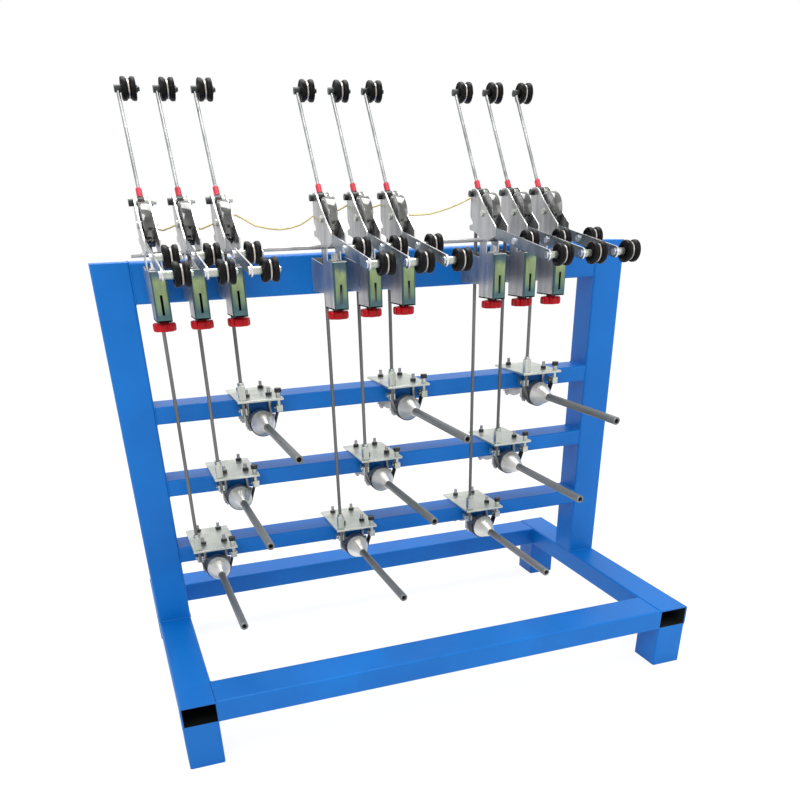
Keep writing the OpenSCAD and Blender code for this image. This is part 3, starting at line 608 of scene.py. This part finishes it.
def head_frames():
    parts = []
    wall_top = HEAD_Z + HEAD_H * WALL_SHARE
    plate = [(HEAD_FRONT + y * HEAD_D, HEAD_Z + z * HEAD_H) for y, z in PLATE]
    rear = HEAD_FRONT + HOUSING_SHARE * HEAD_D
    floor_plan = corner(HEAD_LEFT + FOLD_R, 180, FOLD_R) + corner(HEAD_RIGHT - FOLD_R, 270, FOLD_R)
    floor_plan += [(HEAD_RIGHT, rear), (HEAD_LEFT, rear)]
    whole = front_wall(HEAD_LEFT, HEAD_RIGHT)
    for i in UNITS:
        for low in (HEAD_LEFT, HEAD_RIGHT - SHEET):
            parts.append(extruded(plate, sideways(i), low, low + SHEET))
        parts.append(extruded(floor_plan, upright(i), HEAD_Z, HEAD_Z + SHEET))
        parts.append(extruded(whole, upright(i), HEAD_Z, SLOT_LOW))
        parts.append(extruded(whole, upright(i), SLOT_HIGH, wall_top))
        for left, right in ((HEAD_LEFT, HEAD_MIDDLE - SLOT_HALF), (HEAD_MIDDLE + SLOT_HALF, HEAD_RIGHT)):
            parts.append(extruded(front_wall(left, right), upright(i), SLOT_LOW, SLOT_HIGH))
    piece = new_piece("head_frames_look", *merged(parts), LOOKS["head_frames"], "stand", "zinc")
    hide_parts("head_frames")


head_frames()

# Knobs: lobed, with rounded rims and a short hub on top
LOBES, POINTS_PER_LOBE = 7, 12
# Foot, radius, depth of the dips between the lobes, and depth place of the tension screws
KNOB_LOW, KNOB_R, KNOB_DIP, SCREW_Y = 0.8575, 0.0235, 0.0036, -0.077048
# Power that widens the lobes, and the share of the radius from which they reach their full depth
LOBE_POWER, FULL_LOBES = 0.7, 0.9
# Share of the radius and height in metres, from the bottom up
KNOB_PROFILE = ((0.55, 0.0012), (0.62, 0.0), (0.90, 0.0), (0.955, 0.0006), (0.99, 0.0022), (1.0, 0.0045),
                (1.0, 0.0105), (0.985, 0.0130), (0.94, 0.0146), (0.88, 0.0150), (0.60, 0.0150))
# Radius and height of the hub's rings
KNOB_HUB_R = 0.0103
KNOB_HUB = ((KNOB_HUB_R, 0.0150), (KNOB_HUB_R, 0.0188), (KNOB_HUB_R * 0.94, 0.0192))
KNOB_STEPS = LOBES * POINTS_PER_LOBE
KNOB_ANGLES = [2 * math.pi * k / KNOB_STEPS for k in range(KNOB_STEPS)]


def lobed(share, angle):
    """Radius at an angle, on the ring with this share of the knob's radius."""
    dip = KNOB_DIP * (1 - abs(math.cos(LOBES * angle / 2)) ** LOBE_POWER)
    return (KNOB_R - dip * min(1.0, share / FULL_LOBES)) * share


def knobs():
    rings = [([lobed(share, angle) for angle in KNOB_ANGLES], height) for share, height in KNOB_PROFILE]
    rings += [([radius] * KNOB_STEPS, height) for radius, height in KNOB_HUB]
    for i in UNITS:
        centre = Vector((unit_x(i) + HEAD_MIDDLE, SCREW_Y, KNOB_LOW))
        sections = [[centre + Vector((radius * math.cos(angle), radius * math.sin(angle), height))
                     for radius, angle in zip(radii, KNOB_ANGLES)] for radii, height in rings]
        piece = new_piece("knob_%d" % i, *lofted(sections), RED_KNOB, "knob_%d" % i, "red_plastic")
        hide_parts("tension_knob_%d" % i)


knobs()

# Pulleys: two flanges with round rims and dished faces, and a narrow core between them
AXLE_R = 0.00405
# Radius, half the width of the pulley, and half the width of its core
PULLEY_R, PULLEY_HALF, CORE_HALF = 0.020, 0.014, 0.003
# Section of a flange: share of the radius, and share of the way out from the core
FLANGE_SHARES = ((0.80, 0.0), (0.88, 0.06), (0.94, 0.14), (0.98, 0.28), (1.0, 0.45), (1.0, 0.74), (0.985, 0.87),
                 (0.95, 0.97), (0.91, 1.0), (0.85, 0.99), (0.78, 0.86), (0.66, 0.72), (0.52, 0.66), (0.44, 0.74),
                 (0.40, 1.0))
FLANGE = [(AXLE_R, CORE_HALF)]
FLANGE += [(PULLEY_R * share, CORE_HALF + (PULLEY_HALF - CORE_HALF) * out) for share, out in FLANGE_SHARES]
FLANGE += [(AXLE_R, PULLEY_HALF)]
FAR_FLANGE = [(radius, -out) for radius, out in reversed(FLANGE)]
# Radius of the core at the flanges and in the middle
GROOVE_EDGE_R, GROOVE_R = PULLEY_R * 0.84, PULLEY_R * 0.80
CORE_RING = ((AXLE_R, -CORE_HALF), (GROOVE_EDGE_R, -CORE_HALF), (GROOVE_R, 0.0), (GROOVE_EDGE_R, CORE_HALF),
             (AXLE_R, CORE_HALF))


def pulley_parts(centre):
    return [lofted(turned(centre, RIGHT, UP, section, FINE), closed=True)
            for section in (FLANGE, FAR_FLANGE, CORE_RING)]


def all_pulleys():
    for i in UNITS:
        name = "dancer_pulley_%d" % i
        mesh = merged(pulley_parts(middle_of(name)))
        piece = new_piece("top_pulley_%d" % i, *mesh, PULLEY, "top_pulley_%d" % i, "black_plastic")
        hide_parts(name)
    for name in ("guide_pulleys_inner", "guide_pulleys_outer"):
        middle = middle_of(name)
        parts = []
        for i in UNITS:
            parts += pulley_parts(Vector((unit_x(i) + PULLEY_X, middle.y, middle.z)))
        piece = new_piece(name + "_look", *merged(parts), LOOKS[name], name, "black_plastic")
        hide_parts(name)


all_pulleys()

# Tension wheels: plain rims and dished faces round a boss; radius, half the width, and depth of the dish
WHEEL_R, WHEEL_HALF, DISH = 0.038, 0.0095, 0.0016
# One face from the boss out: share of the radius, and share of the dish's depth
WHEEL_SIDE = ((0.30, 0.0), (0.32, 0.5), (0.345, 1.0), (0.82, 1.0), (0.86, 0.4), (0.885, 0.0), (0.965, 0.0),
              (0.99, 0.35), (1.0, 0.95))


def tension_wheels():
    right = [(WHEEL_R * share, WHEEL_HALF - DISH * depth) for share, depth in WHEEL_SIDE]
    left = [(radius, -out) for radius, out in right]
    profile = [(AXLE_R, -WHEEL_HALF)] + left + right[::-1] + [(AXLE_R, WHEEL_HALF)]
    for i in UNITS:
        name = "tension_wheel_%d" % i
        verts, faces = lofted(turned(middle_of(name), RIGHT, UP, profile, FINE), closed=True)
        piece = new_piece("wheel_%d_look" % i, verts, faces, LOOKS[name], "wheel_%d" % i, "steel")
        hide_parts(name)


tension_wheels()

# Spindles: tube with a bored tip, cone with a plain rim, and the drum under the strap
# Radii of the shaft and bore, the bore's depth, and the small radius that closes the ends on the axis
SHAFT_R, TIP_BORE_R, TIP_BORE_L, AXIS_R = 0.0085, 0.005, 0.024, 0.0002
CONE_R, CONE_TIP_R, CONE_FRONT, CONE_BACK, RIM_BACK = 0.0280, 0.0110, -0.0211, 0.0236, 0.0279
DRUM_R, DRUM_BACK, STUB_R, STUB_BACK = 0.0285, 0.0539, SHAFT_R * 1.4, 0.072
# Broken edges of the tip and cone, and of the cone's rim, across and along
TIP_EDGE, RIM_EDGE = 0.0008, (0.0010, 0.0012)


def spindles():
    for i in UNITS:
        name = "spindle_%d" % i
        low, high = box_of(name)
        axis = Vector((unit_x(i) + SPINDLE_X, 0, bar_top(i) - SPINDLE_DROP))
        profile = [(AXIS_R, low.y + TIP_BORE_L), (TIP_BORE_R, low.y + TIP_BORE_L), (TIP_BORE_R, low.y),
                   (SHAFT_R - TIP_EDGE, low.y), (SHAFT_R, low.y + TIP_EDGE), (SHAFT_R, CONE_FRONT),
                   (CONE_TIP_R - TIP_EDGE, CONE_FRONT), (CONE_TIP_R, CONE_FRONT + TIP_EDGE),
                   (CONE_R - RIM_EDGE[0], CONE_BACK), (CONE_R, CONE_BACK + RIM_EDGE[1]), (CONE_R, RIM_BACK),
                   (DRUM_R, RIM_BACK), (DRUM_R, DRUM_BACK), (STUB_R, DRUM_BACK), (STUB_R, STUB_BACK),
                   (SHAFT_R, STUB_BACK), (SHAFT_R, high.y), (AXIS_R, high.y)]
        verts, faces = lofted(turned(axis, BACK, UP, profile, FINE))
        piece = new_piece("spindle_%d_look" % i, verts, faces, LOOKS[name], "spindle_%d" % i, "steel")
        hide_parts(name)


spindles()

# Plates on the cross bars, by their sides from the brake rod and from the stand's middle, thickness and bevel
PLATE_X, PLATE_Y, PLATE_T, PLATE_BEVEL = (-0.014, 0.093), (0.013, 0.177), 0.005, 0.0005
# Square blocks round the brake rods, the rods with how far they go below the bar's top, and their nuts
BLOCK_HALF, BLOCK_H, BLOCK_BEVEL = 0.0075, 0.032, 0.0006
ROD_R, ROD_EDGE, ROD_BELOW = 0.004, 0.0004, 0.028
NUT_R, NUT_T = 0.0075, 0.0065
ROD_NUT = ((NUT_R * 0.9, 0.0), (NUT_R, 0.0007), (NUT_R, NUT_T - 0.0009), (NUT_R * 0.88, NUT_T))


def slab(low, high, bevel):
    """Upright block with all edges broken."""
    def ring(inset, z):
        x0, y0, x1, y1 = low[0] + inset, low[1] + inset, high[0] - inset, high[1] - inset
        return [Vector(p) for p in ((x0 + bevel, y0, z), (x1 - bevel, y0, z), (x1, y0 + bevel, z),
                                    (x1, y1 - bevel, z), (x1 - bevel, y1, z), (x0 + bevel, y1, z),
                                    (x0, y1 - bevel, z), (x0, y0 + bevel, z))]
    return lofted([ring(bevel, low[2]), ring(0, low[2] + bevel), ring(0, high[2] - bevel), ring(bevel, high[2])])


def low_units():
    plates, rods = [], []
    top = box_of("brake_rods")[1].z
    for i in UNITS:
        x, z = unit_x(i), bar_top(i)
        foot = z + PLATE_T
        plates.append(slab((x + PLATE_X[0], PLATE_Y[0], z), (x + PLATE_X[1], PLATE_Y[1], foot), PLATE_BEVEL))
        rods.append(slab((x - BLOCK_HALF, ROD_Y - BLOCK_HALF, foot),
                         (x + BLOCK_HALF, ROD_Y + BLOCK_HALF, foot + BLOCK_H), BLOCK_BEVEL))
        rods.append(lofted(turned(Vector((x, ROD_Y, foot + BLOCK_H)), UP, BACK, ROD_NUT, HEXAGON)))
        low = Vector((x, ROD_Y, z - ROD_BELOW))
        length = top - low.z
        rod = ((ROD_R - ROD_EDGE, 0.0), (ROD_R, ROD_EDGE), (ROD_R, length - ROD_EDGE), (ROD_R - ROD_EDGE, length))
        rods.append(lofted(turned(low, UP, BACK, rod, COARSE)))
    piece = new_piece("plates_look", *merged(plates), LOOKS["brake_plates"], "stand", "zinc")
    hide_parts("brake_plates")
    piece = new_piece("rods_look", *merged(rods), LOOKS["brake_rods"], "stand", "zinc")
    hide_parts("brake_rods")


low_units()

# Weld beads round the joints of the stand: radius, sides, distance between rings, and their two ripples
BEAD_R, BEAD_SIDES, BEAD_STEP = 0.0016, 6, 0.005
RIPPLES = ((0.18, 2.1), (0.12, 0.77))
# Corner radius of the tubes with the points along it, and the loops' place and depth on the posts, their heights
# on a cross bar, on the beam and on a base beam, and the height of a base beam's middle
TUBE_R, CORNER_POINTS = 0.005, 5
POST_Y, POST_D, BAR_TUBE, BEAM_TUBE, RAIL_TUBE, RAIL_MIDDLE = 0.1095, 0.083, 0.039, 0.080, 0.052, 0.132
# Loops on the inner faces: half the distance between them, then depth place and depth of the two base beams
INNER_X = 0.560
BASE_BEAMS = ((-0.32535, 0.0927), (0.32885, 0.0857))
# Loops at the posts' feet and on the feet of the stand: places from its middle, width, depth and height
POST_FOOT_X, POST_FOOT_W = 0.59875, 0.0775
FOOT_X, FOOT_Y, FOOT_W, FOOT_D, FOOT_TOP = 0.59975, 0.33085, 0.0755, 0.0817, 0.106


def rounded_loop(width, height):
    """Points of a rectangle with the tubes' round corners, about a step apart."""
    points = []
    x, y = width / 2 - TUBE_R, height / 2 - TUBE_R
    corners = ((1, 1, 0), (-1, 1, 90), (-1, -1, 180), (1, -1, 270))
    for k, (sx, sy, start) in enumerate(corners):
        for j in range(CORNER_POINTS):
            angle = math.radians(start + j * 90 / (CORNER_POINTS - 1))
            points.append((sx * x + TUBE_R * math.cos(angle), sy * y + TUBE_R * math.sin(angle)))
        nx, ny, turn = corners[(k + 1) % 4]
        angle = math.radians(turn)
        end = (nx * x + TUBE_R * math.cos(angle), ny * y + TUBE_R * math.sin(angle))
        last = points[-1]
        count = max(2, int(math.hypot(end[0] - last[0], end[1] - last[1]) / BEAD_STEP))
        for j in range(1, count):
            points.append((last[0] + (end[0] - last[0]) * j / count, last[1] + (end[1] - last[1]) * j / count))
    return points


def bead(path):
    """Rings of a rippled bead along a closed path, one after another."""
    n, verts = len(path), []
    for k, point in enumerate(path):
        ahead, behind = path[(k + 1) % n], path[k - 1]
        along = (ahead - behind).normalized()
        side = along.orthogonal().normalized()
        up = along.cross(side)
        radius = BEAD_R * (1.0 + sum(share * math.sin(k * pace) for share, pace in RIPPLES))
        for j in range(BEAD_SIDES):
            angle = 2 * math.pi * j / BEAD_SIDES
            verts.append(point + radius * (math.cos(angle) * side + math.sin(angle) * up))
    return verts


def weld_paths():
    rows = [(POST_Y, LOW_BAR + k * BAR_STEP - BAR_TUBE / 2, POST_D, BAR_TUBE) for k in range(3)]
    rows += [(POST_Y, BEAM_TOP - BEAM_TUBE / 2, POST_D, BEAM_TUBE)]
    rows += [(y, RAIL_MIDDLE, depth, RAIL_TUBE) for y, depth in BASE_BEAMS]
    paths = []
    for side in (-1, 1):
        for y, z, depth, height in rows:
            paths.append([Vector((side * INNER_X, y + a, z + b)) for a, b in rounded_loop(depth, height)])
        paths.append([Vector((side * POST_FOOT_X + a, POST_Y + b, BASE_TOP))
                      for a, b in rounded_loop(POST_FOOT_W, POST_D)])
        for end in (-1, 1):
            paths.append([Vector((side * FOOT_X + a, end * FOOT_Y + b, FOOT_TOP))
                          for a, b in rounded_loop(FOOT_W, FOOT_D)])
    return paths


def welds():
    verts, faces = [], []
    for path in weld_paths():
        start, n = len(verts), len(path)
        rings = bead(path)
        # Each ring is turned to meet the one before with the least twist
        shift = [0] * n
        for k in range(1, n):
            before = [rings[(k - 1) * BEAD_SIDES + (j + shift[k - 1]) % BEAD_SIDES] for j in range(BEAD_SIDES)]
            shift[k] = min(range(BEAD_SIDES), key=lambda t: sum(
                (rings[k * BEAD_SIDES + (j + t) % BEAD_SIDES] - before[j]).length_squared
                for j in range(BEAD_SIDES)))
        verts += rings
        for k in range(n):
            m = (k + 1) % n
            for j in range(BEAD_SIDES):
                faces.append(tuple(start + ring * BEAD_SIDES + (place + shift[ring]) % BEAD_SIDES
                                   for ring, place in ((k, j), (k, j + 1), (m, j + 1), (m, j))))
    new_piece("weld_beads", verts, faces, BLUE, "stand", "blue_paint")


welds()

# Hexagon bolts with washers that hold the brackets to the beam: radius, and distance from the web
WEB_Y = 0.0655
BOLT_HEIGHTS = (0.9200, 0.9530)
BOLT_WASHER = ((0.0075, 0.0), (0.0075, 0.0010), (0.0070, 0.0013))
BOLT_HEAD = ((0.0056, 0.0012), (0.0058, 0.0018), (0.0058, 0.0046), (0.0050, 0.0053))


def bracket_bolts():
    parts = []
    for i in UNITS:
        for z in BOLT_HEIGHTS:
            centre = Vector((unit_x(i) + HEAD_MIDDLE, WEB_Y, z))
            parts.append(lofted(turned(centre, FRONT, UP, BOLT_WASHER, BOLT_SIDES)))
            parts.append(lofted(turned(centre, FRONT, UP, BOLT_HEAD, HEXAGON)))
    zinc = plain("bolt_zinc", ZINC, scale=60.0)
    new_piece("bracket_bolts", *merged(parts), zinc, "stand", "zinc", smooth=False)


bracket_bolts()

# Floor: half its side, and two close whites with the scale of their noise; what is seen of it is
# mostly plain white, and the rest carries the soft shadow
FLOOR_HALF, FLOOR_SCALE = 40.0, 3.0
FLOOR_DARK, FLOOR_LIGHT, FLOOR_ROUGHNESS = (0.95, 0.95, 0.95), (0.97, 0.97, 0.97), 0.9
SEEN_WHITE, WHITE_GLOW = 0.86, 1.06


def make_floor():
    bm = bmesh.new()
    bmesh.ops.create_grid(bm, x_segments=1, y_segments=1, size=FLOOR_HALF)
    mesh = bpy.data.meshes.new("floor")
    bm.to_mesh(mesh)
    bm.free()
    floor = bpy.data.objects.new("floor", mesh)
    bpy.context.scene.collection.objects.link(floor)
    shade = Shade("floor_pale")
    tree = shade.tree
    shade.put(shade.mix(shade.noise(FLOOR_SCALE), FLOOR_DARK, FLOOR_LIGHT), shade.shader.inputs["Base Color"])
    shade.put(FLOOR_ROUGHNESS, shade.shader.inputs["Roughness"])
    glow = tree.nodes.new("ShaderNodeEmission")
    shade.put((1, 1, 1), glow.inputs["Color"])
    shade.put(WHITE_GLOW, glow.inputs["Strength"])
    ray = tree.nodes.new("ShaderNodeLightPath").outputs
    blend = tree.nodes.new("ShaderNodeMixShader")
    seen = shade.math("MAXIMUM", ray["Is Camera Ray"],
                      shade.math("MAXIMUM", ray["Is Glossy Ray"], ray["Is Transmission Ray"]))
    shade.put(shade.math("MULTIPLY", seen, SEEN_WHITE), blend.inputs[0])
    tree.links.new(shade.shader.outputs[0], blend.inputs[1])
    tree.links.new(glow.outputs[0], blend.inputs[2])
    tree.links.new(blend.outputs[0], tree.nodes["Material Output"].inputs["Surface"])
    mesh.materials.append(shade.material)


make_floor()

# Lights: name, place, target, side of the square and power
LIGHTS = (("key", (-1.8, -2.4, 3.2), (0, 0, 0.6), 1.8, 60), ("fill", (2.6, -2.0, 2.0), (0, 0, 0.6), 2.2, 20),
          ("top", (0.2, 0.6, 3.6), (0, 0, 0.5), 2.4, 105))


def area_light(name, place, target, size, power):
    data = bpy.data.lights.new(name, "AREA")
    data.shape = "SQUARE"
    data.size = size
    data.energy = power
    light = bpy.data.objects.new(name, data)
    bpy.context.scene.collection.objects.link(light)
    light.location = place
    light.rotation_euler = (Vector(target) - Vector(place)).to_track_quat("-Z", "Y").to_euler()


for light_row in LIGHTS:
    area_light(*light_row)

# Surroundings: white where seen, mirrored or looked through, and a little dimmer where they only light
WORLD_LIGHT, WORLD_SEEN = 0.75, 1.0


def make_world():
    world = bpy.data.worlds.new("studio")
    bpy.context.scene.world = world
    world.use_nodes = True
    nodes, links = world.node_tree.nodes, world.node_tree.links
    nodes.clear()

    def background(strength):
        node = nodes.new("ShaderNodeBackground")
        node.inputs["Color"].default_value = (1, 1, 1, 1)
        node.inputs["Strength"].default_value = strength
        return node.outputs[0]

    def highest(a, b):
        node = nodes.new("ShaderNodeMath")
        node.operation = "MAXIMUM"
        links.new(a, node.inputs[0])
        links.new(b, node.inputs[1])
        return node.outputs[0]

    ray = nodes.new("ShaderNodeLightPath").outputs
    mix = nodes.new("ShaderNodeMixShader")
    seen = highest(ray["Is Camera Ray"], highest(ray["Is Glossy Ray"], ray["Is Transmission Ray"]))
    links.new(seen, mix.inputs[0])
    links.new(background(WORLD_LIGHT), mix.inputs[1])
    links.new(background(WORLD_SEEN), mix.inputs[2])
    links.new(mix.outputs[0], nodes.new("ShaderNodeOutputWorld").inputs["Surface"])


make_world()

bpy.context.scene.view_settings.view_transform = "Standard"
